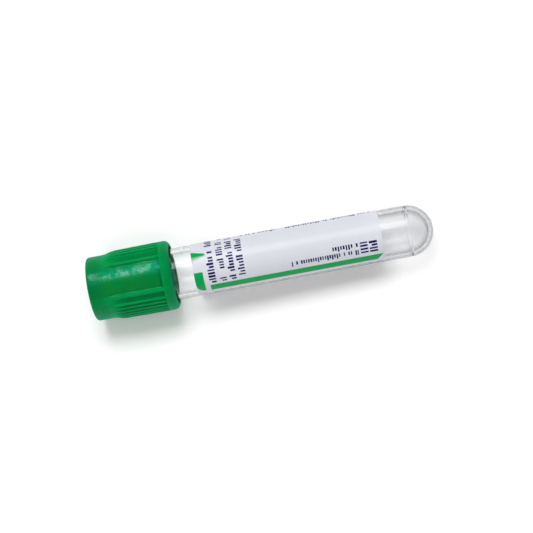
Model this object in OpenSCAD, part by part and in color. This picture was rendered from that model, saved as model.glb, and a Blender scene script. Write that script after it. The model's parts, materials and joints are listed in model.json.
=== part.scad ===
// Blood collection tube with a push-on safety closure, lying on its side as it comes to rest.
// Every piece is drawn upright about the Z axis, with the tube's rim at z = 0, the closure above it
// and the round bottom below it. laid_down() then turns the whole tube onto its lip and its round
// bottom, closure towards -X, and puts the middle of its footprint at the origin with the floor at z = 0.

/* [Tube] */
// Length of the tube from its rim to the tip of its round bottom
tube_length = 75; // [70:0.5:100]
// Outer diameter of the straight wall above the round bottom
tube_d = 12.3; // [11.8:0.1:12.5]
// Inner diameter of the tube, the same from rim to round bottom
bore_d = 10.3; // [9.6:0.1:10.6]
// How much wider the tube is at its rim than at its straight wall, as moulding draft
draft_d = 0.14; // [0:0.02:0.2]
// Width of the shallow dimple in the tip of the round bottom
dimple_d = 3; // [2:0.1:4]
// Depth of that dimple
dimple_depth = 0.35; // [0.2:0.05:0.6]
// Diameter of the moulding gate's nub in the middle of the dimple
gate_d = 1.1; // [0.8:0.1:1.4]

/* [Shield] */
// Height of the closure's flat top above the tube's rim
top_height = 7.4; // [6.8:0.1:9]
// Length of the skirt below the tube's rim
skirt_length = 12.6; // [12:0.1:15]
// Outer diameter of the smooth collar at the top
collar_d = 15.3; // [15:0.1:15.6]
// Outer diameter of the ribbed grip where the shoulder ends
grip_d = 16.44; // [16.2:0.02:16.6]
// Outer diameter of the lip at the open end of the skirt
lip_d = 16.64; // [16.6:0.02:17]
// Height of the lip
lip_height = 2.4; // [2:0.1:3.5]
// Inner diameter of the skirt
skirt_bore_d = 14.34; // [14.1:0.02:14.4]
// Diameter of the needle opening in the top
needle_hole_d = 7.3; // [6.8:0.1:8]
// Number of narrow grooves on each side of the grip
groove_count = 11; // [5:1:13]
// Angle from one narrow groove to the next
groove_pitch = 8.3; // [6:0.1:8.3]
// Angle that each smooth panel covers
panel_angle = 52; // [40:1:54]
// How far the closure is turned from having a smooth panel straight up
closure_turn = -12; // [-180:1:180]

/* [Stopper] */
// How far the plug reaches down the tube
plug_length = 12.1; // [11:0.1:15]
// Gap between the plug and the tube's wall, so that the closure can slide
plug_gap = 0.03; // [0.02:0.01:0.06]
// Thickness of the rubber that the needle goes through
membrane = 4; // [2.5:0.1:5]

/* [Label] */
// Distance of the label from the tube's rim
label_start = 17.6; // [16:0.1:20]
// Length of the label along the tube
label_length = 44.7; // [30:0.1:45]
// Angle that the label wraps round the tube
label_wrap = 305; // [180:1:330]
// Angle of the label's front edge, from straight up towards the front
label_edge = 83; // [0:1:120]
// Thickness of the label
label_thickness = 0.1; // [0.06:0.01:0.15]

/* [Hidden] */

// Reach of the cutting shapes past what they cut, and of shapes into their neighbours
past = 1;
overlap = 0.01;

// Steps round a full turn for wide, small and narrow shapes, and degrees between the points of an edge
wide_steps = 96;
small_steps = 64;
narrow_steps = 24;
edge_step = 15;

// Tube
tube_r = tube_d / 2;
bore_r = bore_d / 2;
dome_z = tube_r - tube_length;
straight_length = 5.9;
draft_z = dome_z + straight_length;
rim_r = tube_r + draft_d / 2;
rim_round = 0.4;
witness_depth = 0.08;
dimple_r = (dimple_d * dimple_d / 4 + dimple_depth * dimple_depth) / (2 * dimple_depth);

// Shield
collar_r = collar_d / 2;
grip_r = grip_d / 2;
lip_r = lip_d / 2;
skirt_z = -skirt_length;
step_z = skirt_z + lip_height;
top_edge = 0.6;
hole_r = needle_hole_d / 2;
hole_bevel = 0.35;
top_wall = 1.6;
collar_height = 3.5;
collar_z = top_height - collar_height;
shoulder_height = 3.7;
shoulder_z = collar_z - shoulder_height;
shoulder_steps = 10;
lip_rise = 1.2;
draft_end_z = step_z + lip_rise;
lip_round = 1.3;
panel_rise = 0.02;
panel_foot_rise = 0.1;
ledge_z = 2.8;
chamber_r = 6.95;
chamber_z = -1.2;
neck_r = 5.9;
fine_r = 0.36;
fine_out = 0.06;
wide_angle = 11.4;
wide_at = 38.3;
patch_height = 1.5;
patch_depth = 0.15;

// Stopper
plug_r = bore_r - plug_gap;
plug_round = 0.6;
neck_z = top_height - top_wall;
well_r = 3.4;
well_foot_r = 3.15;
cavity_r = 3.3;
cavity_top_r = 2.2;
cavity_height = 4.6;
cavity_z = cavity_height - plug_length;
well_z = cavity_z + membrane;

// Label
glue = 0.02;
label_end = label_start + label_length;

// Resting pose: the line that touches both the lip's rounded edge and the round bottom is the floor
lip_edge_z = skirt_z + lip_round;
lip_edge_r = lip_r - lip_round;
edge_to_dome = lip_edge_z - dome_z;
rest_span = sqrt(edge_to_dome * edge_to_dome + lip_edge_r * lip_edge_r);
rest_tilt = atan2(lip_edge_r, edge_to_dome) - asin((tube_r - lip_round) / rest_span);
axis_height = tube_r - dome_z * sin(rest_tilt);
dome_x = tube_r - dome_z * cos(rest_tilt);
top_x = -(top_height - top_edge) * cos(rest_tilt) - (collar_r - top_edge) * sin(rest_tilt) - top_edge;
middle_x = (dome_x + top_x) / 2;

module laid_down() {
    translate([-middle_x, 0, axis_height])
        rotate([0, rest_tilt - 90, 0])
            children();
}

// Radius of the tube's outer wall at height z, between the straight wall and the rim
function wall_r(z) = tube_r + draft_d / 2 * (z - draft_z) / -draft_z;

// A ring of revolution through points of [radius, height]
module turned(points, sweep = 360) {
    rotate_extrude(angle = sweep, $fn = wide_steps)
        polygon(points);
}

// A quarter circle of points from straight out to straight along the axis, about [centre_r, centre_z]
function edge_points(centre_r, centre_z, radius, along) =
    [for (a = [0 : edge_step : 90]) [centre_r + radius * cos(a), centre_z + along * radius * sin(a)]];

// The points of a list in the opposite order
function backwards(points) = [for (i = [len(points) - 1 : -1 : 0]) points[i]];

// The tube: drafted wall, straight wall, round bottom, with a rounded rim and a dimpled gate mark
module tube() {
    color([0.86, 0.89, 0.92, 0.4])
        laid_down()
            difference() {
                tube_outside();
                tube_inside();
                gate_dimple();
            }
}

module tube_outside() {
    turned(concat(
        [[0, draft_z], [tube_r, draft_z]],
        edge_points(rim_r - rim_round, -rim_round, rim_round, 1),
        [[0, 0]]
    ));
    translate([0, 0, dome_z])
        cylinder(h = straight_length, r = tube_r, $fn = wide_steps);
    translate([0, 0, dome_z])
        sphere(r = tube_r, $fn = wide_steps);
}

module tube_inside() {
    translate([0, 0, dome_z])
        cylinder(h = past - dome_z, r = bore_r, $fn = wide_steps);
    translate([0, 0, dome_z])
        sphere(r = bore_r, $fn = wide_steps);
    translate([0, 0, -rim_round])
        cylinder(h = rim_round + overlap, r1 = bore_r, r2 = bore_r + rim_round / 2, $fn = wide_steps);
    turned([
        [tube_r - witness_depth, dome_z],
        [tube_r + past, dome_z - past],
        [tube_r + past, dome_z + past]
    ]);
}

// A shallow round hollow in the tip of the round bottom, with the gate's nub left standing in it
module gate_dimple() {
    difference() {
        translate([0, 0, dimple_depth - tube_length - dimple_r])
            sphere(r = dimple_r, $fn = wide_steps);
        translate([0, 0, -tube_length - past])
            cylinder(h = 2 * past, r = gate_d / 2, $fn = small_steps);
    }
}

// The label: a thin band wrapped round the tube, leaving a clear window along the lower front
module label() {
    color([0.87, 0.88, 0.91])
        laid_down()
            rotate([0, 0, -label_edge])
                turned([
                    [wall_r(-label_end) + glue, -label_end],
                    [wall_r(-label_end) + glue + label_thickness, -label_end],
                    [wall_r(-label_start) + glue + label_thickness, -label_start],
                    [wall_r(-label_start) + glue, -label_start]
                ], label_wrap);
}

// The shield: the moulded green cap that covers the stopper, with a collar, a ribbed grip and a lip
module shield() {
    color([0.0, 0.48, 0.23])
        laid_down()
            rotate([0, 0, closure_turn])
                difference() {
                    shield_body();
                    shield_inside();
                    for (side = [0, 180])
                        rotate([0, 0, side])
                            grip_side();
                }
}

// Outside radius of the shield over the shoulder, an S-shaped rise from the collar to the grip
function shoulder_r(t) = collar_r + (grip_r - collar_r) * (1 - cos(180 * t)) / 2;

module shield_body() {
    turned(concat(
        [[0, top_height]],
        backwards(edge_points(collar_r - top_edge, top_height - top_edge, top_edge, 1)),
        [for (i = [0 : shoulder_steps])
            [shoulder_r(i / shoulder_steps), collar_z - shoulder_height * i / shoulder_steps]],
        [[lip_r, draft_end_z]],
        edge_points(lip_edge_r, lip_edge_z, lip_round, -1),
        [[0, skirt_z]]
    ));
}

module shield_inside() {
    translate([0, 0, skirt_z - past])
        cylinder(h = chamber_z - skirt_z + past, r = skirt_bore_d / 2, $fn = wide_steps);
    translate([0, 0, chamber_z])
        cylinder(h = ledge_z - chamber_z, r = chamber_r, $fn = wide_steps);
    cylinder(h = neck_z, r = neck_r, $fn = wide_steps);
    cylinder(h = top_height + past, r = hole_r, $fn = wide_steps);
    translate([0, 0, top_height - hole_bevel])
        cylinder(h = 2 * hole_bevel, r1 = hole_r, r2 = hole_r + 2 * hole_bevel, $fn = wide_steps);
}

// One half of the grip: a smooth panel, a wide groove each side of it, and the narrow grooves
module grip_side() {
    rotate([0, 0, -panel_angle / 2])
        sunk_band(panel_angle);
    for (side = [-1, 1])
        rotate([0, 0, side * wide_at - wide_angle / 2])
            sunk_band(wide_angle);
    for (i = [0 : groove_count - 1])
        rotate([0, 0, 90 + groove_pitch * (i - (groove_count - 1) / 2)])
            narrow_groove();
    rotate([0, 0, -panel_angle / 2])
        lip_patch(panel_angle);
}

// A sector cut down to a plain wall that carries the collar's line on to the lip
module sunk_band(sweep) {
    rotate_extrude(angle = sweep, $fn = wide_steps)
        polygon([
            [collar_r + panel_rise, collar_z],
            [collar_r + panel_foot_rise, step_z],
            [lip_r + past, step_z],
            [lip_r + past, collar_z]
        ]);
}

// A round-bottomed groove that runs out into the shoulder and stops at the lip
module narrow_groove() {
    lean = atan2(lip_r - grip_r, shoulder_z - draft_end_z);
    translate([lip_r + fine_out, 0, step_z])
        rotate([0, -lean, 0])
            cylinder(h = collar_z - step_z, r = fine_r, $fn = narrow_steps);
}

// A shallow sunk strip on the lip, in line with the smooth panel
module lip_patch(sweep) {
    rotate_extrude(angle = sweep, $fn = wide_steps)
        polygon([
            [lip_r - patch_depth, step_z + past],
            [lip_r - patch_depth, step_z - patch_height],
            [lip_r + past, step_z - patch_height],
            [lip_r + past, step_z + past]
        ]);
}

// The stopper: a rubber plug with a flange on the tube's rim, a deep well above and a hollow below
module stopper() {
    color([0.03, 0.2, 0.14])
        laid_down()
            difference() {
                stopper_body();
                stopper_well();
                stopper_cavity();
            }
}

module stopper_body() {
    turned(concat(
        [[0, neck_z], [neck_r, neck_z], [neck_r, ledge_z], [chamber_r, ledge_z], [chamber_r, 0], [plug_r, 0]],
        edge_points(plug_r - plug_round, plug_round - plug_length, plug_round, -1),
        [[0, -plug_length]]
    ));
}

module stopper_well() {
    translate([0, 0, well_z])
        cylinder(h = neck_z - well_z + past, r1 = well_foot_r, r2 = well_r, $fn = small_steps);
}

module stopper_cavity() {
    translate([0, 0, -plug_length - past])
        cylinder(h = past + overlap, r = cavity_r, $fn = small_steps);
    translate([0, 0, -plug_length])
        cylinder(h = cavity_height, r1 = cavity_r, r2 = cavity_top_r, $fn = small_steps);
}

tube();
label();
shield();
stopper();
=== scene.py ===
import json
import math

import bpy
import numpy as np
from bpy.props import FloatProperty, FloatVectorProperty, IntProperty, PointerProperty
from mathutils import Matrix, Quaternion, Vector


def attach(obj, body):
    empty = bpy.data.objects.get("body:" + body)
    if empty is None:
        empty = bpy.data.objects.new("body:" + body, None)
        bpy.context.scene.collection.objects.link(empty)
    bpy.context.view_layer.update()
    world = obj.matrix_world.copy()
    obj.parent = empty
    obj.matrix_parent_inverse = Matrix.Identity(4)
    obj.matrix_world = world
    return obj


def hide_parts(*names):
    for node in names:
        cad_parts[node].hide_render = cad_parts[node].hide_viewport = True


bl_info = {
    "name": "Blood collection tube",
    "version": (1, 0, 0),
    "blender": (4, 5, 0),
    "location": "3D View > Sidebar > Tube",
    "description": "Adds the finished pieces of a blood collection tube round its packed model",
    "category": "Add Mesh",
}

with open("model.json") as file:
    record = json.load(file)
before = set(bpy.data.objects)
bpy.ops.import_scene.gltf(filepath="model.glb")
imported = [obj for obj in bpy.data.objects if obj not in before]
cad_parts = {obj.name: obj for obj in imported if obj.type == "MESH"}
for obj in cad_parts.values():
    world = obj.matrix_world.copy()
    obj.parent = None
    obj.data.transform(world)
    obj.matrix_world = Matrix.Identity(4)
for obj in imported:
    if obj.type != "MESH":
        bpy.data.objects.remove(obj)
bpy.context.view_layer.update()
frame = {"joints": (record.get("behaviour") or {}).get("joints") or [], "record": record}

MM = 0.001
MOUNTS = {mount["name"]: mount for mount in frame["record"]["mounts"]}
FOOT = MOUNTS["tube_foot"]
NEEDLE_OPENING = MOUNTS["needle_opening"]

# The tube's own directions: its axis points to the closure, ACROSS is level and points to the back,
# and UPRIGHT is square to both.
AXIS = np.array(frame["joints"][0]["axis"])
ACROSS = np.array([0.0, 1.0, 0.0])
UPRIGHT = np.cross(ACROSS, AXIS)

# The middle of the rim. The foot's mount is at the middle of the straight wall above the round bottom.
TUBE_LENGTH = 75 * MM
FOOT_R = FOOT["dims"]["r_mm"] * MM
STRAIGHT_LENGTH = FOOT["dims"]["length_mm"] * MM
RIM = np.array(FOOT["pos_m"]) + AXIS * (TUBE_LENGTH - FOOT_R - STRAIGHT_LENGTH / 2)


def srgb(red, green, blue):
    """A colour given in steps of 0 to 255, as the linear values that the shaders take."""
    share = np.array([red, green, blue]) / 255
    linear = np.where(share <= 0.04045, share / 12.92, ((share + 0.055) / 1.055) ** 2.4)
    return tuple(float(value) for value in linear)


def size(name, description, length):
    """A length, as a property. Its default is given in millimetres."""
    return FloatProperty(
        name=name, description=description, default=length * MM, min=0, unit="LENGTH", precision=5
    )


def turn(name, description, degrees):
    """An angle, as a property. Its default is given in degrees."""
    return FloatProperty(
        name=name, description=description, default=math.radians(degrees), subtype="ANGLE"
    )


def colour(name, description, default):
    """A linear colour, as a property."""
    return FloatVectorProperty(
        name=name, description=description, default=default, size=3, min=0, max=1, subtype="COLOR"
    )


def amount(name, description, default):
    """A plain number, as a property."""
    return FloatProperty(name=name, description=description, default=default, min=0)


class TubeSizes(bpy.types.PropertyGroup):
    """Sizes of the clear tube. Heights are measured along its axis from the rim."""

    length: size("Length", "From the rim to the tip of the round bottom", TUBE_LENGTH / MM)
    radius: size("Radius", "Outer radius of the straight wall above the round bottom", FOOT_R / MM)
    straight: size("Straight wall", "Length of the wall that has no draft", STRAIGHT_LENGTH / MM)
    draft: size("Draft", "How much wider the radius is at the rim", 0.07)
    bore: size("Bore radius", "Inner radius, the same from rim to bottom", 5.15)
    rim_round: size("Rim rounding", "Radius of the rim's edge", 0.4)
    ring_depth: size("Ring depth", "Depth of the fine ring that the mould leaves", 0.14)
    ring_width: size("Ring width", "Width of that ring", 0.7)
    dimple: size("Dimple radius", "Radius of the hollow in the tip of the bottom", 1.5)
    dimple_depth: size("Dimple depth", "Depth of that hollow", 0.35)
    gate: size("Gate radius", "Radius of the gate's nub in the dimple", 0.55)
    gate_height: size("Gate height", "How far the nub stands out of the dimple", 0.1)
    columns: IntProperty(name="Columns", description="Points round the tube", default=256)


class LabelSizes(bpy.types.PropertyGroup):
    """Sizes of the paper label."""

    start: size("Start", "Distance from the tube's rim", 17.6)
    length: size("Length", "Length along the tube", 44.7)
    wrap: turn("Wrap", "Angle that it covers round the tube", 305)
    edge: turn("Front edge", "Angle of its front edge from straight up", 83)
    gap: size("Glue", "Gap under the paper", 0.02)
    thickness: size("Thickness", "Thickness of the paper", 0.1)
    paper: colour("Paper", "Coated white paper", srgb(222, 224, 232))
    back: colour("Back", "Glued side, seen through the tube", srgb(226, 227, 230))
    green: colour("Green print", "Bars and blocks", srgb(0, 166, 84))
    ink: colour("Dark print", "Rows of small marks", srgb(34, 24, 98))


class ShieldSizes(bpy.types.PropertyGroup):
    """Sizes of the green shield. Heights are measured along the axis from the tube's rim."""

    top: size("Top", "Height of the flat top above the rim", 7.4)
    top_wall: size("Top wall", "Thickness of the flat top", 1.6)
    edge: size("Top edge", "Radius of the top's outer edge", 0.6)
    hole: size("Needle opening", "Radius of the opening in the top", NEEDLE_OPENING["dims"]["r_mm"])
    bevel: size("Bevel", "Width of the bevel round that opening", 0.35)
    collar: size("Collar radius", "Smooth collar at the top", 7.65)
    collar_height: size("Collar height", "Height of that collar", 3.5)
    shoulder_height: size("Shoulder height", "Height of the rise from collar to grip", 3.7)
    grip: size("Grip radius", "Ribbed grip where the shoulder ends", 8.22)
    skirt: size("Skirt", "How far the skirt reaches below the rim", 12.6)
    skirt_bore: size("Skirt bore", "Inner radius of the skirt", 7.17)
    lip: size("Lip radius", "Lip at the open end", 8.32)
    lip_height: size("Lip height", "Height of the lip", 2.4)
    lip_round: size("Lip rounding", "Radius of the lip's outer edge", 1.3)
    patch_height: size("Patch height", "Height of the shallow patch on the lip below a panel", 1.5)
    patch_depth: size("Patch depth", "Depth of that patch", 0.15)
    panel: turn("Panel", "Angle that each smooth panel covers", 52)
    wide_groove: turn("Wide groove", "Angle that each wide groove covers", 11.4)
    wide_at: turn("Wide groove place", "Angle from the panel's middle to the groove's", 38.3)
    flank: size("Flank", "Width of the sloped sides of the panels and the wide grooves", 0.45)
    pitch: turn("Groove pitch", "Angle from one narrow groove to the next", 8.3)
    grooves: IntProperty(name="Grooves", description="Narrow grooves on each side", default=11)
    groove_round: size("Groove radius", "Radius of a narrow groove's section", 0.36)
    turned: turn("Turned", "Angle from straight up to the upper panel's middle", -12)
    plastic: colour("Plastic", "Green moulded plastic where it is polished", srgb(0, 125, 38))
    # Painted sheen: the matt plastic is a lighter green than the polished one, standing in for the light
    # that its rough surface catches.
    matt: colour("Matt plastic", "The plastic where its surface scatters more light", srgb(0, 143, 54))
    # Painted shade: the colour that the grooves, the foot of each panel's step, the collar and the lip
    # are darkened towards.
    painted_shade: colour("Deep plastic", "The plastic down in the grooves", srgb(0, 72, 14))


class StopperSizes(bpy.types.PropertyGroup):
    """Sizes of the rubber stopper. Heights are measured along the axis from the tube's rim."""

    plug_length: size("Plug length", "How far the plug reaches down the tube", 12.1)
    plug: size("Plug radius", "Radius of the plug in the tube", 5.12)
    flange: size("Flange radius", "Radius of the flange on the rim", 6.95)
    flange_height: size("Flange height", "Height of that flange", 2.8)
    neck: size("Neck radius", "Radius of the neck under the shield's top", 5.9)
    neck_height: size("Neck height", "Height of the neck's top above the rim", 5.8)
    well: size("Well radius", "Radius of the well that the needle goes into", 3.4)
    membrane: size("Membrane", "Thickness of rubber below the well", 4)
    cavity: size("Cavity radius", "Radius of the hollow in the plug's end", 3.3)
    cavity_height: size("Cavity height", "Height of that hollow", 4.6)
    rubber: colour("Rubber", "Dark green rubber", srgb(0, 138, 108))
    columns: IntProperty(name="Columns", description="Points round the stopper", default=128)


class StageSettings(bpy.types.PropertyGroup):
    """Floor, lamps and camera."""

    floor: colour("Floor", "Pale floor", (0.95, 0.95, 0.95))
    floor_lift: amount("Floor lift", "Light added to the floor where it is seen", 0.1)
    clear_lift: amount("Clear lift", "Light added to the floor where it is seen through the tube", 0.48)
    key: amount("Key lamp", "Power of the soft lamp above, which shows in reflections", 2.4)
    back: amount("Back lamp", "Power of the lamp behind, which draws the shadow", 1.5)
    fill: amount("Fill lamp", "Power of the weaker lamp in front", 1.45)
    horizon: amount("Horizon", "Strength of the even light from low down", 0.08)
    zenith: amount("Zenith", "Strength of the even light from straight up", 0.5)
    backdrop: amount("Backdrop", "Strength of the low sky in reflections and through the tube", 0.5)
    ceiling: amount("Ceiling", "Strength of the high sky in reflections and through the tube", 0.04)
    azimuth: turn("Azimuth", "The camera's direction round the tube", 10.5567)
    elevation: turn("Elevation", "The camera's height above the floor", 70.4683)
    roll: turn("Roll", "How far the camera is rolled", -21.164)
    distance: size("Distance", "From the camera to the point it looks at", 295.479)
    lens: amount("Lens", "Focal length in millimetres for a 36 mm sensor", 81.80)


# ---- Profiles and surfaces


def line(start, end, steps):
    """Points of [radius, height] from start up to but not including end, evenly spaced."""
    share = np.arange(steps)[:, None] / steps
    return np.array(start) + (np.array(end) - np.array(start)) * share


def arc(centre, radius, first, last, steps):
    """Points of [radius, height] on an arc from angle first to angle last, both included, in degrees."""
    angle = np.radians(np.linspace(first, last, steps + 1))
    return np.array(centre) + radius * np.stack([np.cos(angle), np.sin(angle)], -1)


def smooth(value):
    """An S-shaped step: the square of value times 3 less twice value, with value held from 0 to 1."""
    share = np.clip(value, 0, 1)
    return share * share * (3 - 2 * share)


def round_about(radius, angle, height):
    """Points at these radii, angles and heights about the tube's axis, in the row frame. The angle is
    measured from straight up towards the back, and the height from the rim towards the closure."""
    up = (radius * np.cos(angle))[..., None] * UPRIGHT
    side = (radius * np.sin(angle))[..., None] * ACROSS
    return RIM + up + side + height[..., None] * AXIS


def quads(index):
    """The faces between neighbours in a grid of vertex numbers. They point outwards where the rows
    run down the outside and the columns turn from up to back."""
    corners = [index[:-1, :-1], index[1:, :-1], index[1:, 1:], index[:-1, 1:]]
    return np.stack(corners, -1).reshape(-1, 4)


def fan(ring, pole, first):
    """Triangles from a ring of vertex numbers to a pole, which comes before the ring if first is set."""
    following = np.roll(ring, -1)
    middle = np.full_like(ring, pole)
    order = [middle, ring, following] if first else [ring, middle, following]
    return np.stack(order, -1)


def new_object(name, data):
    """An object in the scene that holds this data."""
    made = bpy.data.objects.new(name, data)
    bpy.context.scene.collection.objects.link(made)
    return made


def make_piece(name, points, faces, material, body, node, slot, sharp=None):
    """A mesh object with its place in its vertices. It rides on body and stands for the CAD node."""
    mesh = bpy.data.meshes.new(name)
    every_face = [face for part in faces for face in part.tolist()]
    mesh.from_pydata(points.reshape(-1, 3).tolist(), [], every_face)
    mesh.polygons.foreach_set("use_smooth", np.ones(len(mesh.polygons), bool))
    if sharp is not None:
        mesh.set_sharp_from_angle(angle=math.radians(sharp))
    mesh.materials.append(material)
    mesh.validate()
    piece = new_object(name, mesh)
    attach(piece, body)
    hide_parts(node)
    return piece


def capped_lathe(profile, columns):
    """Points and faces of a turned form whose profile starts and ends on the axis. The first and the
    last profile points are its two poles, and each one between is carried once round the axis."""
    ends, rings = profile[[0, -1]], profile[1:-1]
    angle = np.linspace(0, 2 * np.pi, columns, endpoint=False)
    grid = round_about(rings[:, :1], angle, rings[:, 1:])
    poles = round_about(ends[:, 0], np.zeros(2), ends[:, 1])
    points = np.vstack([grid.reshape(-1, 3), poles])
    index = np.arange(len(rings) * columns).reshape(-1, columns)
    closed = np.hstack([index, index[:, :1]])
    faces = [
        quads(closed),
        fan(index[0], len(points) - 2, True),
        fan(index[-1], len(points) - 1, False),
    ]
    return points, faces


# ---- Finishes


class Shades:
    """A node tree with one short call for each kind of node that the finishes use."""

    def __init__(self, tree):
        self.tree = tree
        tree.nodes.clear()

    def feed(self, socket, value):
        """Links a socket to another one, or sets it to a value."""
        if isinstance(value, bpy.types.NodeSocket):
            self.tree.links.new(value, socket)
        else:
            socket.default_value = value

    def add(self, kind, inputs=None, **settings):
        """A shader node of this kind, with its settings and its inputs."""
        node = self.tree.nodes.new("ShaderNode" + kind)
        for name, value in settings.items():
            setattr(node, name, value)
        for name, value in (inputs or {}).items():
            self.feed(node.inputs[name], value)
        return node

    def math(self, operation, *values):
        """The result of a Math node."""
        node = self.add("Math", operation=operation)
        for socket, value in zip(node.inputs, values):
            self.feed(socket, value)
        return node.outputs["Value"]

    def product(self, first, *others):
        """All the values multiplied together."""
        for value in others:
            first = self.math("MULTIPLY", first, value)
        return first

    def span(self, value, low, high, first=0.0, last=1.0):
        """value carried from low..high to first..last, and held at the ends."""
        inputs = {"Value": value, "From Min": low, "From Max": high, "To Min": first, "To Max": last}
        return self.add("MapRange", inputs, clamp=True).outputs["Result"]

    def spread(self, noise, first=0.0, last=1.0):
        """The middle of a noise's range, where most of it lies, carried to first..last."""
        return self.span(noise, 0.3, 0.7, first, last)

    def between(self, value, low, high):
        """1 where value is more than low and less than high, and 0 elsewhere."""
        return self.product(self.math("GREATER_THAN", value, low), self.math("LESS_THAN", value, high))

    def band(self, value, low, high, soft=0.03):
        """1 between low and high, 0 outside, with edges this soft."""
        rise = self.span(value, low - soft / 2, low + soft / 2)
        fall = self.span(value, high - soft / 2, high + soft / 2, 1.0, 0.0)
        return self.product(rise, fall)

    def patch(self, place, along, across):
        """1 inside the rectangle that spans along and across, each a pair of low and high."""
        return self.product(self.band(place[0], *along), self.band(place[1], *across))

    def noise(self, vector, scale, detail=2.0, roughness=0.5):
        """A Noise Texture's value, about 0.5 in the middle."""
        inputs = {"Vector": vector, "Scale": scale, "Detail": detail, "Roughness": roughness}
        return self.add("TexNoise", inputs).outputs["Fac"]

    def mix(self, share, first, second):
        """first where share is 0 and second where it is 1, as colours."""
        node = self.add("Mix", data_type="RGBA")
        self.feed(node.inputs[0], share)
        self.feed(node.inputs[6], first)
        self.feed(node.inputs[7], second)
        return node.outputs[2]

    def bump(self, height, distance, strength=1.0, normal=None):
        """A Bump node's normal, for a height of 0 to 1 that stands for this distance in metres."""
        inputs = {"Height": height, "Distance": distance, "Strength": strength}
        if normal is not None:
            inputs["Normal"] = normal
        return self.add("Bump", inputs).outputs["Normal"]

    def principled(self, inputs):
        """A Principled shader as the material's surface."""
        shader = self.add("BsdfPrincipled", inputs)
        self.add("OutputMaterial", {"Surface": shader.outputs[0]})

    def shaded(self, noise, rgb, low, high):
        """A colour that a noise carries from rgb times low to rgb times high."""
        dark, light = [opaque(min(1.0, value * share) for value in rgb) for share in (low, high)]
        return self.mix(self.spread(noise), dark, light)

    def attribute(self, name):
        """A value that the piece's own points hold."""
        return self.add("Attribute", attribute_name=name).outputs["Fac"]

    def object_place(self, stretch=(1, 1, 1)):
        """Object coordinates, scaled."""
        place = self.add("TexCoord").outputs["Object"]
        return self.add("Mapping", {"Vector": place, "Scale": stretch}).outputs["Vector"]


def finish_of(name):
    """A new material and the Shades of its empty node tree."""
    material = bpy.data.materials.new(name)
    material.use_nodes = True
    return material, Shades(material.node_tree)


def opaque(rgb):
    """A colour with its fourth value."""
    return (*rgb, 1.0)


def clear_plastic():
    """Clear moulded polyester: smooth, with faint lengthwise flow lines. Its colour holds painted shade:
    it is darker where the surface is seen edge-on, and greyer towards the round bottom. Lamps shine
    through it."""
    material, s = finish_of("clear_plastic")
    flow = s.noise(s.object_place((0.08, 1, 1)), 900, 3.0)
    haze = s.noise(s.object_place(), 160, 4.0)
    # Painted shade: the colour darkens where the surface is seen edge-on, and both the face-on and the
    # edge-on colour turn greyer towards the round bottom.
    edge = s.span(s.add("LayerWeight", {"Blend": 0.5}).outputs["Facing"], 0.25, 0.62)
    along = s.add("SeparateXYZ", {"Vector": s.object_place()}).outputs["X"]
    foot = s.span(along, 5 * MM, 40 * MM)
    face = s.mix(foot, (0.98, 0.983, 0.99, 1), (0.86, 0.862, 0.872, 1))
    rim = s.mix(foot, (0.42, 0.425, 0.43, 1), (0.22, 0.223, 0.23, 1))
    inputs = {
        "Base Color": s.mix(edge, face, rim),
        "Roughness": s.span(haze, 0.35, 0.7, 0.015, 0.05),
        "IOR": 1.57,
        "Specular Tint": (0.5, 0.5, 0.5, 1),
        "Transmission Weight": 0.99,
        "Normal": s.bump(flow, 0.004 * MM, 0.5),
    }
    plastic = s.add("BsdfPrincipled", inputs)
    unlit = s.add("BsdfTransparent", {"Color": (0.99, 0.99, 0.99, 1)})
    shadow = s.add("LightPath").outputs["Is Shadow Ray"]
    both = s.add("MixShader", {0: shadow, 1: plastic.outputs[0], 2: unlit.outputs[0]})
    tint = s.add("VolumeAbsorption", {"Color": (0.56, 0.57, 0.58, 1), "Density": 220.0})
    s.add("OutputMaterial", {"Surface": both.outputs[0], "Volume": tint.outputs[0]})
    return material


def green_plastic(sizes):
    """Moulded polyethylene: satin and mottled where the piece's own polish says, and matt on the ribs,
    where a lighter green is a painted sheen. Painted shade darkens the colour where its own depth
    attribute says. It has shallow waves and a fine spark-eroded grain."""
    material, s = finish_of("green_plastic")
    place = s.object_place()
    polish = s.attribute("polish")
    cloud = s.noise(place, 240, 2.0)
    blotch = s.noise(place, 900, 3.0, 0.65)
    grain = s.noise(place, 5200, 2.0)
    # Painted sheen: where polish is low, on the ribs, the lip and most of the collar, the colour is the
    # lighter matt green.
    tone_with_sheen = s.mix(polish, opaque(sizes.matt), opaque(sizes.plastic))
    clouded = {0: tone_with_sheen, "Scale": s.spread(cloud, 0.92, 1.08)}
    tone_with_sheen = s.add("VectorMath", clouded, operation="SCALE").outputs["Vector"]
    waves = s.bump(cloud, 0.05 * MM, 0.6)
    relief = s.bump(grain, 0.008 * MM, 0.5, s.bump(blotch, 0.03 * MM, 0.8, waves))
    mottle = s.span(s.math("ADD", cloud, blotch), 0.8, 1.15)
    satin = s.product(polish, s.span(mottle, 0.0, 1.0, 0.7, 1.0))
    skin = s.product(polish, s.math("POWER", mottle, 2.5))
    inputs = {
        # Painted shade: the depth attribute darkens the colour towards the painted shade colour.
        "Base Color": s.mix(s.attribute("depth"), tone_with_sheen, opaque(sizes.painted_shade)),
        "Roughness": s.span(satin, 0.0, 1.0, 0.7, 0.3),
        "IOR": 1.5,
        "Specular IOR Level": 0.85,
        "Specular Tint": (0.02, 1.0, 0.86, 1),
        "Coat Weight": s.product(skin, 0.85),
        "Coat Roughness": 0.2,
        "Coat IOR": 1.5,
        "Sheen Weight": 0.4,
        "Sheen Roughness": 0.4,
        "Sheen Tint": (0.0, 1.0, 0.8, 1),
        "Normal": relief,
        "Coat Normal": relief,
    }
    s.principled(inputs)
    return material


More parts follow.
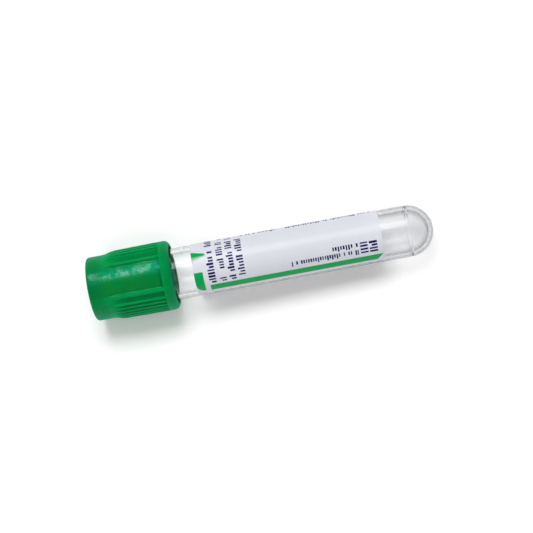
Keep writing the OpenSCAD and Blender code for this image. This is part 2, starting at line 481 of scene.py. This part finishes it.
def stopper_rubber(sizes):
    """Matt dark green rubber with a faint bloom."""
    material, s = finish_of("stopper_rubber")
    place = s.object_place()
    bloom = s.noise(place, 350, 4.0)
    grain = s.noise(place, 3000, 3.0)
    inputs = {
        "Base Color": s.shaded(bloom, sizes.rubber, 0.85, 1.2),
        "Roughness": s.spread(grain, 0.5, 0.68),
        "Specular IOR Level": 0.25,
        "Specular Tint": (0.1, 1.0, 0.9, 1),
        "Normal": s.bump(grain, 0.02 * MM, 0.6),
    }
    s.principled(inputs)
    return material


# In a row of marks: a bar's least and greatest share of the pitch, a low bar's share of the height,
# and the share of bars left out.
BAR_WIDTHS = (0.48, 0.78)
LOW_BAR = 0.7
MISSING_BARS = 0.12

# Rows of marks round the tube and along it, in millimetres: base line, height, start, end, pitch.
AROUND = [
    (4.95, 1.65, 2.95, 15.6, 0.72),
    (7.4, 1.55, 2.95, 15.6, 0.62),
    (9.7, 1.6, 2.95, 14.8, 0.68),
    (12.0, 1.6, 2.95, 13.4, 0.7),
    (41.1, 1.8, 3.35, 6.2, 0.8),
    (43.35, 1.9, 3.35, 6.2, 0.72),
]
LENGTHWISE = [
    (4.6, 1.25, 22.8, 38.8, 0.56),
    (6.2, 1.2, 32.7, 38.8, 0.62),
    (15.7, 1.5, 12.0, 20.6, 0.6),
    (15.7, 1.5, 22.8, 43.0, 0.6),
    (17.6, 0.9, 12.0, 43.0, 0.45),
    (19.4, 0.9, 12.0, 36.0, 0.45),
]


def mark_row_group():
    """A node group for one row of small printed marks: upright bars of uneven height and width, with
    gaps between groups of them. Along and Across are places in millimetres."""
    group = bpy.data.node_groups.new("mark_row", "ShaderNodeTree")
    for name in ("Along", "Across", "Start", "End", "Height", "Pitch", "Seed"):
        group.interface.new_socket(name, in_out="INPUT", socket_type="NodeSocketFloat")
    group.interface.new_socket("Ink", in_out="OUTPUT", socket_type="NodeSocketFloat")
    s = Shades(group)
    given = group.nodes.new("NodeGroupInput").outputs
    made = group.nodes.new("NodeGroupOutput")
    step = s.math("DIVIDE", s.math("SUBTRACT", given["Along"], given["Start"]), given["Pitch"])
    cell = s.math("ADD", s.math("FLOOR", step), given["Seed"])
    within = s.math("FRACT", step)
    draw = s.add("TexWhiteNoise", {"W": cell}, noise_dimensions="1D")
    shares = s.add("SeparateColor", {"Color": draw.outputs["Color"]}).outputs
    width = s.span(shares[0], 0.0, 1.0, *BAR_WIDTHS)
    tall = s.math("GREATER_THAN", shares[1], 0.5)
    top = s.product(given["Height"], s.span(tall, 0.0, 1.0, LOW_BAR, 1.0))
    filled = s.math("GREATER_THAN", shares[2], MISSING_BARS)
    off_middle = s.math("ABSOLUTE", s.math("SUBTRACT", within, 0.5))
    bar = s.math("LESS_THAN", off_middle, s.math("DIVIDE", width, 2.0))
    upright = s.between(given["Across"], 0.0, top)
    inside = s.between(given["Along"], given["Start"], given["End"])
    s.feed(made.inputs["Ink"], s.product(filled, bar, upright, inside))
    return group


def add_rows(s, group, run, level, rows, seeds, ink):
    """These rows of marks, joined to the ink so far. run is the place along the rows and level the
    place across them. seeds holds the first row's seed and the step to the next one's."""
    for number, (base, height, start, end, pitch) in enumerate(rows):
        given = {"Along": run, "Across": s.math("SUBTRACT", base, level), "Start": start, "End": end}
        given.update({"Height": height, "Pitch": pitch, "Seed": seeds[0] + seeds[1] * number})
        row = s.add("Group", given, node_tree=group)
        ink = s.math("MAXIMUM", ink, row.outputs["Ink"])
    return ink


def green_print_with_highlight(s, along, across):
    """The mask of the green print: a long bar with a slanting end, a block with one round corner, and a
    wedge. The wedge fades towards its lower edge, a painted highlight over the print. along and across
    are places in millimetres."""
    place = (along, across)
    slanted = s.math("SUBTRACT", along, s.product(across, 0.92))
    bar = s.patch(place, (3.3, 45.0), (0.88, 2.57))
    bar = s.product(bar, s.math("LESS_THAN", slanted, 42.14))

    corner_middle, corner_radius = (2.1, 3.2), 2.12
    block = s.patch(place, (-1.0, 2.1), (1.15, 6.15))
    squares = []
    for middle, at in zip(corner_middle, place):
        into_corner = s.math("MAXIMUM", s.math("SUBTRACT", middle, at), 0.0)
        squares.append(s.math("POWER", into_corner, 2.0))
    corner = s.math("SQRT", s.math("ADD", *squares))
    block = s.product(block, s.math("LESS_THAN", corner, corner_radius))

    wedge_end = 3.25
    lower = s.span(along, 0.0, wedge_end, 8.4, 9.7)
    upper = s.span(along, 0.0, wedge_end, 11.3, 10.4)
    rise = s.math("DIVIDE", s.math("SUBTRACT", across, lower), s.math("SUBTRACT", upper, lower))
    ahead = s.math("LESS_THAN", along, wedge_end)
    # Painted highlight: the wedge's print fades towards its lower edge.
    wedge = s.product(s.between(across, lower, upper), ahead, s.span(rise, 0.0, 0.55))
    return s.math("MAXIMUM", s.math("MAXIMUM", bar, block), wedge)


def print_layout(s, along, across):
    """The two masks of the label's print, green and dark, from the place along the tube and round it in
    millimetres. The green one holds a painted highlight, where its wedge fades. along is 0 at the
    closure's end, and across is 0 at the front edge."""
    group = mark_row_group()
    ink = add_rows(s, group, across, along, AROUND, (0.0, 40.0), 0.0)
    ink = add_rows(s, group, along, across, LENGTHWISE, (1000.0, 90.0), ink)
    return green_print_with_highlight(s, along, across), ink


def label_paper(sizes, radius):
    """Coated paper with flat print. The piece's own map holds the place along and round the tube."""
    material, s = finish_of("label_paper")
    own = s.add("UVMap", uv_map="label").outputs["UV"]
    shares = s.add("SeparateXYZ", {"Vector": own}).outputs
    along = s.product(shares[0], sizes.length / MM)
    across = s.product(shares[1], sizes.wrap * radius / MM)
    green, ink = print_layout(s, along, across)
    place = s.object_place()
    fibre = s.noise(place, 2500, 4.0)
    cloud = s.noise(place, 120, 2.0)
    printed = s.mix(green, s.shaded(cloud, sizes.paper, 0.97, 1.02), opaque(sizes.green))
    printed = s.mix(ink, printed, opaque(sizes.ink))
    inputs = {
        "Base Color": printed,
        "Roughness": s.spread(fibre, 0.4, 0.52),
        "Specular IOR Level": 0.05,
        "Coat Weight": 0.35,
        "Coat Roughness": 0.12,
        "Coat IOR": 1.5,
        "Normal": s.bump(fibre, 0.006 * MM, 0.5),
    }
    s.principled(inputs)
    return material


def label_back(sizes):
    """The label's glued side: white with a faint uneven glue film."""
    material, s = finish_of("label_back")
    film = s.noise(s.object_place(), 700, 3.0)
    inputs = {
        "Base Color": s.shaded(film, sizes.back, 0.96, 1.02),
        "Roughness": s.spread(film, 0.35, 0.55),
        "Normal": s.bump(film, 0.01 * MM, 0.5),
    }
    s.principled(inputs)
    return material


# ---- Pieces


def tube_profile(t):
    """From the inner pole up the bore, over the rim, down the wall and round the bottom to the outer
    pole. The wall's ring is a shallow hollow with a cosine section. The bottom is a half sphere with
    a dimple, a part of a larger sphere turned inside out, and the gate's flat nub in its middle."""
    dome = t.radius - t.length
    draft_end = dome + t.straight
    rim_r = t.radius + t.draft
    edge = t.rim_round
    inside = arc([0, dome], t.bore, -90, 0, 36)
    bore = line([t.bore, dome + 0.5 * MM], [t.bore, -edge], 24)
    rim_in = arc([t.bore + edge / 2, -edge / 2], edge / 2, 180, 90, 5)
    rim_out = arc([rim_r - edge, -edge], edge, 90, 0, 8)
    wall = line([rim_r, -edge - 0.2 * MM], [t.radius, draft_end], 24)
    straight = line([t.radius, draft_end], [t.radius, dome + t.ring_width], 6)
    offset = np.linspace(1, -1, 25)
    hollow = t.ring_depth * (1 + np.cos(np.pi * offset)) / 2
    ring = np.stack([t.radius - hollow, dome + offset * t.ring_width / 2], -1)
    meet = math.degrees(math.acos(t.dimple / t.radius))
    start = math.degrees(math.asin(t.ring_width / 2 / t.radius)) + 1
    bottom = arc([0, dome], t.radius, -start, -meet + 2, 40)
    shoulder_z = dome - math.sqrt(t.radius**2 - t.dimple**2)
    dimple_r = (t.dimple**2 + t.dimple_depth**2) / (2 * t.dimple_depth)
    radius = np.linspace(0.96 * t.dimple, 1.04 * t.gate, 12)
    floor = t.dimple_depth - t.length
    sag = dimple_r - np.sqrt(dimple_r**2 - radius**2)
    dimple = np.stack([radius, np.maximum(floor - sag, shoulder_z)], -1)
    tip = floor - t.gate_height
    nub = [[t.gate, floor - 0.6 * t.gate_height], [0.94 * t.gate, tip], [0.5 * t.gate, tip], [0, tip]]
    return np.vstack([inside, bore, rim_in, rim_out, wall, straight, ring, bottom, dimple, nub])


def label_surface(t, sizes, columns=240, rows=60):
    """Points, faces and map of the label: a sheet bent to the wall's drafted radius, as a closed slab.
    Its section is a loop that runs along the outside from the front edge to the back edge and returns
    along the inside. Rows go down the tube."""
    draft_end = t.radius - t.length + t.straight
    along, around = np.meshgrid(np.linspace(0, 1, rows), np.linspace(0, 1, columns), indexing="ij")
    angle = around * sizes.wrap - sizes.edge
    height = -sizes.start - along * sizes.length
    wall = t.radius + t.draft * (height - draft_end) / -draft_end
    lifts = (sizes.gap + sizes.thickness, sizes.gap)
    points = np.vstack([round_about(wall + lift, angle, height).reshape(-1, 3) for lift in lifts])
    outer = np.arange(rows * columns).reshape(rows, columns)
    inner = outer + rows * columns
    sides = [
        quads(np.stack([inner[0], outer[0]])),
        quads(np.stack([outer[-1], inner[-1]])),
        quads(np.stack([inner[:, 0], outer[:, 0]], 1)),
        quads(np.stack([outer[:, -1], inner[:, -1]], 1)),
    ]
    faces = [quads(outer), quads(inner)[:, ::-1], *sides]
    place = np.stack([along, around], -1).reshape(-1, 2)
    return points, faces, np.vstack([place, place])


# Smaller sizes of the shield: the step from grip to lip, the fall of a ridge's crown, the grip's
# length, how far a narrow groove's middle stands out of the wall, its corner, and the patch's edge.
STEP_WIDTH = 0.08 * MM
CROWN = 0.1 * MM
GRIP_LENGTH = 9.4 * MM
GROOVE_LIFT = 0.06 * MM
GROOVE_CORNER = 0.1 * MM
PATCH_EDGE = 0.12 * MM


def heights(s):
    """Heights of the shield's collar end, shoulder end and lip step, and where the grip's draft ends."""
    collar_end = s.top - s.collar_height
    step = s.lip_height - s.skirt
    undrafted = 1.2 * MM
    return collar_end, collar_end - s.shoulder_height, step, step + undrafted


def base_radius(z, s):
    """The shield's outer radius before its grooves: collar, cosine shoulder, then drafted wall."""
    collar_end, shoulder_end, _, draft_end = heights(s)
    share = np.clip((collar_end - z) / s.shoulder_height, 0, 1)
    shoulder = s.collar + (s.grip - s.collar) * (1 - np.cos(np.pi * share)) / 2
    down = np.clip((shoulder_end - z) / (shoulder_end - draft_end), 0, 1)
    return shoulder + (s.lip - s.grip) * down


def soft_less(first, second, width):
    """The lesser of two values, with the corner between them rounded over width."""
    share = np.clip(0.5 + 0.5 * (second - first) / width, 0, 1)
    return second + (first - second) * share - width * share * (1 - share)


def from_panel(angle):
    """The angle to the middle of the nearer panel, from 0 to a right angle."""
    return np.abs((angle + np.pi / 2) % np.pi - np.pi / 2)


def on_panel(s, folded):
    """1 on the panels and 0 off them, with an S over each flank. folded is from_panel's angle."""
    return smooth((s.panel / 2 - folded) / (s.flank / s.lip) + 0.5)


def on_collar(s, height):
    """1 on the collar and 0 below it, with an S between them."""
    return smooth((height - heights(s)[0]) / (2 * MM) + 0.5)


def from_groove(s, folded):
    """The angle to the middle of the nearest narrow groove."""
    steps = (folded - np.pi / 2) / s.pitch
    outermost = (s.grooves - 1) / 2
    return (steps - np.clip(np.round(steps), -outermost, outermost)) * s.pitch


def shield_angles(s, columns):
    """Angles round the shield, closer together near the grooves' edges: equal steps of a running sum
    that counts each edge's neighbourhood several times."""
    samples = 20001
    fine = np.linspace(0, np.pi, samples)
    edges = [s.panel / 2, s.wide_at - s.wide_groove / 2, s.wide_at + s.wide_groove / 2]
    edges += [np.pi - edge for edge in edges]
    narrow = np.pi / 2 + s.pitch * (np.arange(s.grooves) - (s.grooves - 1) / 2)
    spread = s.flank / s.lip / 2
    reach = math.radians(3.1)
    density = 0.35 + sum(1.6 * np.exp(-(((fine - edge) / spread) ** 2)) for edge in edges)
    density = density + sum(0.9 * (np.abs(fine - middle) < reach) for middle in narrow)
    total = np.concatenate([[0], np.cumsum((density[1:] + density[:-1]) / 2)])
    half = np.interp(np.linspace(0, total[-1], columns // 2, endpoint=False), total, fine)
    return np.concatenate([half, half + np.pi])


def shield_outside(z, angle, s):
    """Outer radius at height z and angle from the panel's middle. The panels and wide grooves are sunk
    to a plain wall that carries the collar's line on, with S-shaped flanks, and the ridge between them
    is a low crown, which falls with the square of the distance from its middle. A narrow groove is
    part of a circle. All of them stop at the lip with a steep step, and a shallow patch on the lip
    stands below each panel."""
    collar_end, _, step, _ = heights(s)
    base = base_radius(z, s)
    foot = np.clip((collar_end - z) / (collar_end - step), 0, 1)
    plain = s.collar + (0.02 + 0.08 * foot) * MM
    folded = from_panel(angle)
    panel = on_panel(s, folded)
    wide = smooth((s.wide_groove / 2 - np.abs(folded - s.wide_at)) / (s.flank / s.lip) + 0.5)
    above_step = smooth((z - step) / STEP_WIDTH + 0.5)
    ridge_end = s.wide_at - s.wide_groove / 2
    off_ridge = (folded - (s.panel / 2 + ridge_end) / 2) / (ridge_end - s.panel / 2) * 2
    on_ridge = (folded < s.wide_at) * (folded > s.panel / 4)
    crown = CROWN * np.clip(off_ridge, -1, 1) ** 2 * on_ridge
    high = np.maximum(base - crown * foot * above_step, np.minimum(base, plain))
    radius = high - np.maximum(high - plain, 0) * np.maximum(panel, wide) * above_step
    lean = (s.lip - s.grip) / GRIP_LENGTH
    axis_r = s.lip + GROOVE_LIFT - (z - step) * lean
    offset = from_groove(s, folded) * axis_r
    depth = np.sqrt(np.maximum(s.groove_round**2 - offset**2, 0))
    groove = np.where(np.abs(offset) < s.groove_round, axis_r - depth, s.lip * 2)
    cut = soft_less(radius, groove, GROOVE_CORNER)
    radius = radius + (cut - radius) * above_step
    patch_end = step - s.patch_height
    patch = panel * smooth((z - patch_end) / PATCH_EDGE + 0.5) * (1 - above_step)
    return radius - s.patch_depth * patch


def shield_profile(s, stopper):
    """Four parts of the shield's section: from the needle opening over the top and its rounded edge,
    the heights down the side, round the lip's edge, and back up the inside, which fits the stopper's
    flange and neck. All but the second are points of [radius, height]."""
    collar_end, shoulder_end, step, _ = heights(s)
    flat = line([s.hole + s.bevel, s.top], [s.collar - s.edge, s.top], 6)
    top = np.vstack([flat, arc([s.collar - s.edge, s.top - s.edge], s.edge, 90, 0, 9)])
    lip_end = s.lip_round - s.skirt
    spans = {
        "collar": (s.top - 2 * s.edge, collar_end + 0.1 * MM, 4),
        "shoulder": (collar_end - 0.1 * MM, shoulder_end - 0.2 * MM, 26),
        "grip": (shoulder_end - 0.8 * MM, step + 0.2 * MM, 14),
        "step": (step + STEP_WIDTH, step - STEP_WIDTH, 13),
        "lip": (step - 0.25 * MM, lip_end + 0.08 * MM, 5),
    }
    side = np.concatenate([np.linspace(*span) for span in spans.values()])
    mouth = s.lip - s.lip_round
    last = math.degrees(math.acos((s.skirt_bore + 0.05 * MM - mouth) / s.lip_round))
    foot = arc([mouth, lip_end], s.lip_round, 0, -last, 18)
    bore, flange, neck, hole = s.skirt_bore, stopper.flange, stopper.neck, s.hole
    seat = -1.2 * MM
    flange_top = stopper.flange_height
    ceiling = s.top - s.top_wall
    inside = [
        [[bore, 0.06 * MM - s.skirt]],
        line([bore, 0.25 * MM - s.skirt], [bore, seat], 12),
        [[bore, seat], [flange, seat]],
        line([flange, seat + 0.1 * MM], [flange, flange_top], 4),
        [[flange, flange_top], [neck, flange_top]],
        line([neck, flange_top + 0.1 * MM], [neck, ceiling], 4),
        [[neck, ceiling], [hole, ceiling]],
        line([hole, ceiling + 0.1 * MM], [hole, s.top - s.bevel], 4),
        [[hole, s.top - s.bevel], [hole + s.bevel * 0.92, s.top - s.bevel * 0.08]],
    ]
    return top, side, foot, np.vstack(inside)


def shield_surface(s, stopper, columns=560):
    """Points and faces of the shield: one closed loop of rows, each carried round the axis. The rows
    of the top and the inside are circles, and those of the side and foot follow shield_outside."""
    top, side, foot, inside = shield_profile(s, stopper)
    angle = shield_angles(s, columns)
    ring = np.ones((1, columns))
    foot_z = foot[:, 1:]
    side_r = shield_outside(side[:, None], angle, s)
    foot_r = foot[:, :1] + shield_outside(foot_z, angle, s) - base_radius(foot_z, s)
    radius = np.vstack([top[:, :1] * ring, side_r, foot_r, inside[:, :1] * ring])
    height = np.concatenate([top[:, 1], side, foot[:, 1], inside[:, 1]])[:, None] * ring
    points = round_about(radius, angle + s.turned, height)
    index = np.arange(radius.size).reshape(radius.shape)
    closed = np.vstack([index, index[:1]])
    closed = np.hstack([closed, closed[:, :1]])
    # The depth attribute holds painted shade.
    own = {"polish": shield_polish(s, height, angle), "depth": shield_painted_shade(s, height, angle)}
    return points, [quads(closed)], own


def shield_polish(s, height, angle):
    """How glossy each point of the shield is, from 0 to 1: full on the panels, a little less where they
    run out over the collar, a trace on the rest of the collar, and none on the ribs and the lip."""
    panel = on_panel(s, from_panel(angle)) * (height > heights(s)[2])
    collar = on_collar(s, height)
    return np.maximum(panel * (1 - 0.3 * collar), 0.1 * collar)


def shield_painted_shade(s, height, angle):
    """How much painted shade darkens each point of the shield, from 0 to 1: most at the foot of a
    panel's step and in the narrow grooves, less in the wide grooves, and a little on the collar and the
    lip.
    It rises as an S over a groove's wall."""
    _, shoulder_end, step, _ = heights(s)
    folded = from_panel(angle)
    offset = np.abs(from_groove(s, folded)) * s.lip
    narrow = smooth((s.groove_round - offset) / s.groove_round * 1.6)
    wide = smooth((s.wide_groove / 2 - np.abs(folded - s.wide_at)) / (s.flank / s.lip) + 0.3)
    started = smooth((shoulder_end + s.shoulder_height / 2 - height) / s.shoulder_height)
    above_step = smooth((height - step) / (0.1 * MM) + 0.5)
    grip = np.maximum(0.7 * narrow, 0.4 * wide) * started * above_step
    foot = on_panel(s, folded) * np.exp(-(((height - step - 0.1 * MM) / (0.14 * MM)) ** 2))
    lip = smooth((step - height) / (1.2 * MM))
    return np.maximum.reduce([grip, 0.8 * foot, 0.3 * on_collar(s, height), 0.25 * lip])


def stopper_profile(p):
    """From the pole on the well's floor up the well, over the neck and flange, down the plug and up
    the hollow in its end to the second pole."""
    edge = 0.25 * MM
    plug_round = 0.6 * MM
    cavity_z = p.cavity_height - p.plug_length
    well_z = cavity_z + p.membrane
    well_foot = 3.15 * MM
    cavity_top = 2.2 * MM
    well = line([well_foot, well_z + edge], [p.well, p.neck_height - edge], 16)
    parts = [
        [[0, well_z]],
        line([0.5 * MM, well_z], [well_foot - edge, well_z], 5),
        arc([well_foot - edge, well_z + edge], edge, -90, 0, 4),
        well[1:],
        arc([p.well + edge, p.neck_height - edge], edge, 180, 90, 4),
        arc([p.neck - edge, p.neck_height - edge], edge, 90, 0, 4),
        [[p.neck, p.flange_height + 0.2 * MM], [p.neck, p.flange_height]],
        arc([p.flange - edge, p.flange_height - edge], edge, 90, 0, 4),
        arc([p.flange - edge, edge], edge, 0, -90, 4),
        [[p.plug + 0.1 * MM, 0], [p.plug, -0.1 * MM]],
        line([p.plug, -0.5 * MM], [p.plug, plug_round - p.plug_length], 14),
        arc([p.plug - plug_round, plug_round - p.plug_length], plug_round, 0, -90, 8),
        arc([p.cavity + edge, edge - p.plug_length], edge, -90, -180, 4),
        line([p.cavity, 2 * edge - p.plug_length], [cavity_top, cavity_z - edge], 8),
        arc([cavity_top - edge, cavity_z - edge], edge, 0, 90, 4),
        line([cavity_top - 2 * edge, cavity_z], [0, cavity_z], 4),
        [[0, cavity_z]],
    ]
    return np.vstack(parts)


# ---- Operators


class TUBE_OT_add_tube(bpy.types.Operator):
    """Add the clear tube with its rim, its round bottom and the gate's mark"""

    bl_idname = "blood_tube.add_tube"
    bl_label = "Tube"

    def execute(self, context):
        sizes = context.scene.tube_sizes
        points, faces = capped_lathe(tube_profile(sizes), sizes.columns)
        where = ("tube_body", "tube", "clear_plastic")
        make_piece("clear_tube", points, faces, clear_plastic(), *where, 50)
        return {"FINISHED"}


class TUBE_OT_add_label(bpy.types.Operator):
    """Add the paper label with its printed shapes"""

    bl_idname = "blood_tube.add_label"
    bl_label = "Label"

    def execute(self, context):
        tube = context.scene.tube_sizes
        sizes = context.scene.label_sizes
        points, faces, place = label_surface(tube, sizes)
        material = label_paper(sizes, tube.radius)
        where = ("tube_body", "label", "label_paper")
        mesh = make_piece("paper_label", points, faces, material, *where, 40).data
        mesh.materials.append(label_back(sizes))
        inner = np.zeros(len(mesh.polygons), np.int32)
        inner[len(faces[0]) : len(faces[0]) + len(faces[1])] = 1
        mesh.polygons.foreach_set("material_index", inner)
        corners = np.zeros(len(mesh.loops), np.int32)
        mesh.loops.foreach_get("vertex_index", corners)
        places = place[corners].astype(np.float32).ravel()
        mesh.uv_layers.new(name="label").uv.foreach_set("vector", places)
        return {"FINISHED"}


class TUBE_OT_add_shield(bpy.types.Operator):
    """Add the green shield with its collar, ribbed grip and lip"""

    bl_idname = "blood_tube.add_shield"
    bl_label = "Shield"

    def execute(self, context):
        sizes = context.scene.shield_sizes
        points, faces, own = shield_surface(sizes, context.scene.stopper_sizes)
        material = green_plastic(sizes)
        where = ("closure", "shield", "green_plastic")
        piece = make_piece("green_shield", points, faces, material, *where, 55)
        for name, values in own.items():
            layer = piece.data.attributes.new(name, "FLOAT", "POINT")
            layer.data.foreach_set("value", values.astype(np.float32).ravel())
        return {"FINISHED"}


class TUBE_OT_add_stopper(bpy.types.Operator):
    """Add the rubber stopper with its well, flange and plug"""

    bl_idname = "blood_tube.add_stopper"
    bl_label = "Stopper"

    def execute(self, context):
        sizes = context.scene.stopper_sizes
        points, faces = capped_lathe(stopper_profile(sizes), sizes.columns)
        where = ("closure", "stopper", "stopper_rubber")
        make_piece("rubber_stopper", points, faces, stopper_rubber(sizes), *where, 50)
        return {"FINISHED"}


LAMP_DISTANCE = 0.8
LOOKED_AT = (0.344 * MM, 0.29 * MM, 0)
SENSOR_WIDTH = 36


def floor_material(stage):
    """A pale matt floor. Where it is seen, reflected or looked at through the tube, a little light is
    added to it, so that it is white and keeps its shadow. Far off, the camera sees it as white as the
    sky."""
    material, s = finish_of("floor")
    path = s.add("LightPath").outputs
    seen = s.math("MAXIMUM", path["Is Camera Ray"], path["Is Glossy Ray"])
    through = s.product(path["Is Transmission Ray"], stage.clear_lift)
    near = s.math("MAXIMUM", s.product(seen, stage.floor_lift), through)
    distance = s.add("VectorMath", {0: s.object_place()}, operation="LENGTH").outputs["Value"]
    whitens, white = 0.3, 1.2
    far = s.product(path["Is Camera Ray"], s.span(distance, whitens, white))
    matt = s.add("BsdfDiffuse", {"Color": opaque(stage.floor)})
    lift = s.add("Emission", {"Strength": s.math("ADD", near, far)})
    both = s.add("AddShader", {0: matt.outputs[0], 1: lift.outputs[0]})
    s.add("OutputMaterial", {"Surface": both.outputs[0]})
    return material


def add_floor(stage):
    """A flat square under the tube."""
    half = 1.5
    corners = [(-half, -half, 0), (half, -half, 0), (half, half, 0), (-half, half, 0)]
    mesh = bpy.data.meshes.new("floor")
    mesh.from_pydata(corners, [], [(0, 1, 2, 3)])
    mesh.materials.append(floor_material(stage))
    new_object("floor", mesh)


def direction_of(azimuth, elevation):
    """The unit vector at this azimuth, where 0 is the front, and this height above the floor."""
    level = math.cos(elevation)
    return Vector((math.sin(azimuth) * level, -math.cos(azimuth) * level, math.sin(elevation)))


def add_lamp(name, azimuth, elevation, width, depth, power):
    """A soft area lamp that faces the tube and isn't seen by the camera. Its angles are in degrees.
    Its width lies along the tube and its depth across it."""
    lamp = bpy.data.lights.new(name, "AREA")
    lamp.shape = "ELLIPSE"
    lamp.size = width
    lamp.size_y = depth
    lamp.energy = power
    direction = direction_of(math.radians(azimuth), math.radians(elevation))
    holder = new_object(name, lamp)
    holder.location = direction * LAMP_DISTANCE
    holder.rotation_mode = "QUATERNION"
    holder.rotation_quaternion = direction.to_track_quat("Z", "Y")
    holder.visible_camera = False
    return holder


def add_sky(stage):
    """Even light from all sides. Where the camera sees the sky it is white. Reflections and clear
    pieces show a pale backdrop low down and a dark ceiling."""
    world = bpy.data.worlds.new("sky")
    world.use_nodes = True
    bpy.context.scene.world = world
    s = Shades(world.node_tree)
    path = s.add("LightPath").outputs
    direction = s.add("TexCoord").outputs["Generated"]
    height = s.add("SeparateXYZ", {"Vector": direction}).outputs["Z"]
    even = s.span(height, 0.0, 1.0, stage.horizon, stage.zenith)
    backdrop_top, ceiling_edge = 0.15, 0.5
    studio = s.span(height, backdrop_top, ceiling_edge, stage.backdrop, stage.ceiling)
    reflected = s.math("MAXIMUM", path["Is Glossy Ray"], path["Is Transmission Ray"])
    strength = s.span(reflected, 0.0, 1.0, even, studio)
    strength = s.math("MAXIMUM", strength, path["Is Camera Ray"])
    sky = s.add("Background", {"Color": (1, 1, 1, 1), "Strength": strength})
    s.add("OutputWorld", {"Surface": sky.outputs[0]})


def add_camera(stage):
    """The camera looks down on the tube from the front, rolled so that the tube runs uphill."""
    camera = bpy.data.cameras.new("camera")
    camera.sensor_width = SENSOR_WIDTH
    camera.lens = stage.lens
    camera.clip_start = 10 * MM
    back = direction_of(stage.azimuth, stage.elevation)
    holder = new_object("camera", camera)
    holder.location = Vector(LOOKED_AT) + back * stage.distance
    holder.rotation_mode = "QUATERNION"
    holder.rotation_quaternion = (-back).to_track_quat("-Z", "Y") @ Quaternion((0, 0, 1), stage.roll)
    bpy.context.scene.camera = holder


class TUBE_OT_add_stage(bpy.types.Operator):
    """Add the floor, the lamps, the sky and the camera"""

    bl_idname = "blood_tube.add_stage"
    bl_label = "Stage"

    def execute(self, context):
        stage = context.scene.stage_settings
        add_floor(stage)
        add_lamp("key_lamp", 180, 69, 0.56, 0.45, stage.key)
        back = add_lamp("back_lamp", 190, 70, 0.35, 0.35, stage.back)
        fill = add_lamp("fill_lamp", 0, 50, 0.9, 0.45, stage.fill)
        for unseen in (back, fill):
            unseen.visible_glossy = False
        back.visible_transmission = False
        add_sky(stage)
        add_camera(stage)
        context.scene.view_settings.view_transform = "Standard"
        return {"FINISHED"}


class TUBE_PT_pieces(bpy.types.Panel):
    """The tube's pieces and stage, each with its button"""

    bl_label = "Blood collection tube"
    bl_space_type = "VIEW_3D"
    bl_region_type = "UI"
    bl_category = "Tube"

    def draw(self, context):
        for operator in OPERATORS:
            self.layout.operator(operator.bl_idname)


GROUPS = {
    "tube_sizes": TubeSizes,
    "label_sizes": LabelSizes,
    "shield_sizes": ShieldSizes,
    "stopper_sizes": StopperSizes,
    "stage_settings": StageSettings,
}
OPERATORS = (
    TUBE_OT_add_tube,
    TUBE_OT_add_label,
    TUBE_OT_add_shield,
    TUBE_OT_add_stopper,
    TUBE_OT_add_stage,
)
CLASSES = (*GROUPS.values(), *OPERATORS, TUBE_PT_pieces)


def register():
    for cls in CLASSES:
        bpy.utils.register_class(cls)
    for name, group in GROUPS.items():
        setattr(bpy.types.Scene, name, PointerProperty(type=group))


def unregister():
    for name in GROUPS:
        delattr(bpy.types.Scene, name)
    for cls in reversed(CLASSES):
        bpy.utils.unregister_class(cls)


def main():
    register()
    bpy.ops.blood_tube.add_tube()
    bpy.ops.blood_tube.add_label()
    bpy.ops.blood_tube.add_shield()
    bpy.ops.blood_tube.add_stopper()
    bpy.ops.blood_tube.add_stage()


if __name__ == "__main__":
    main()
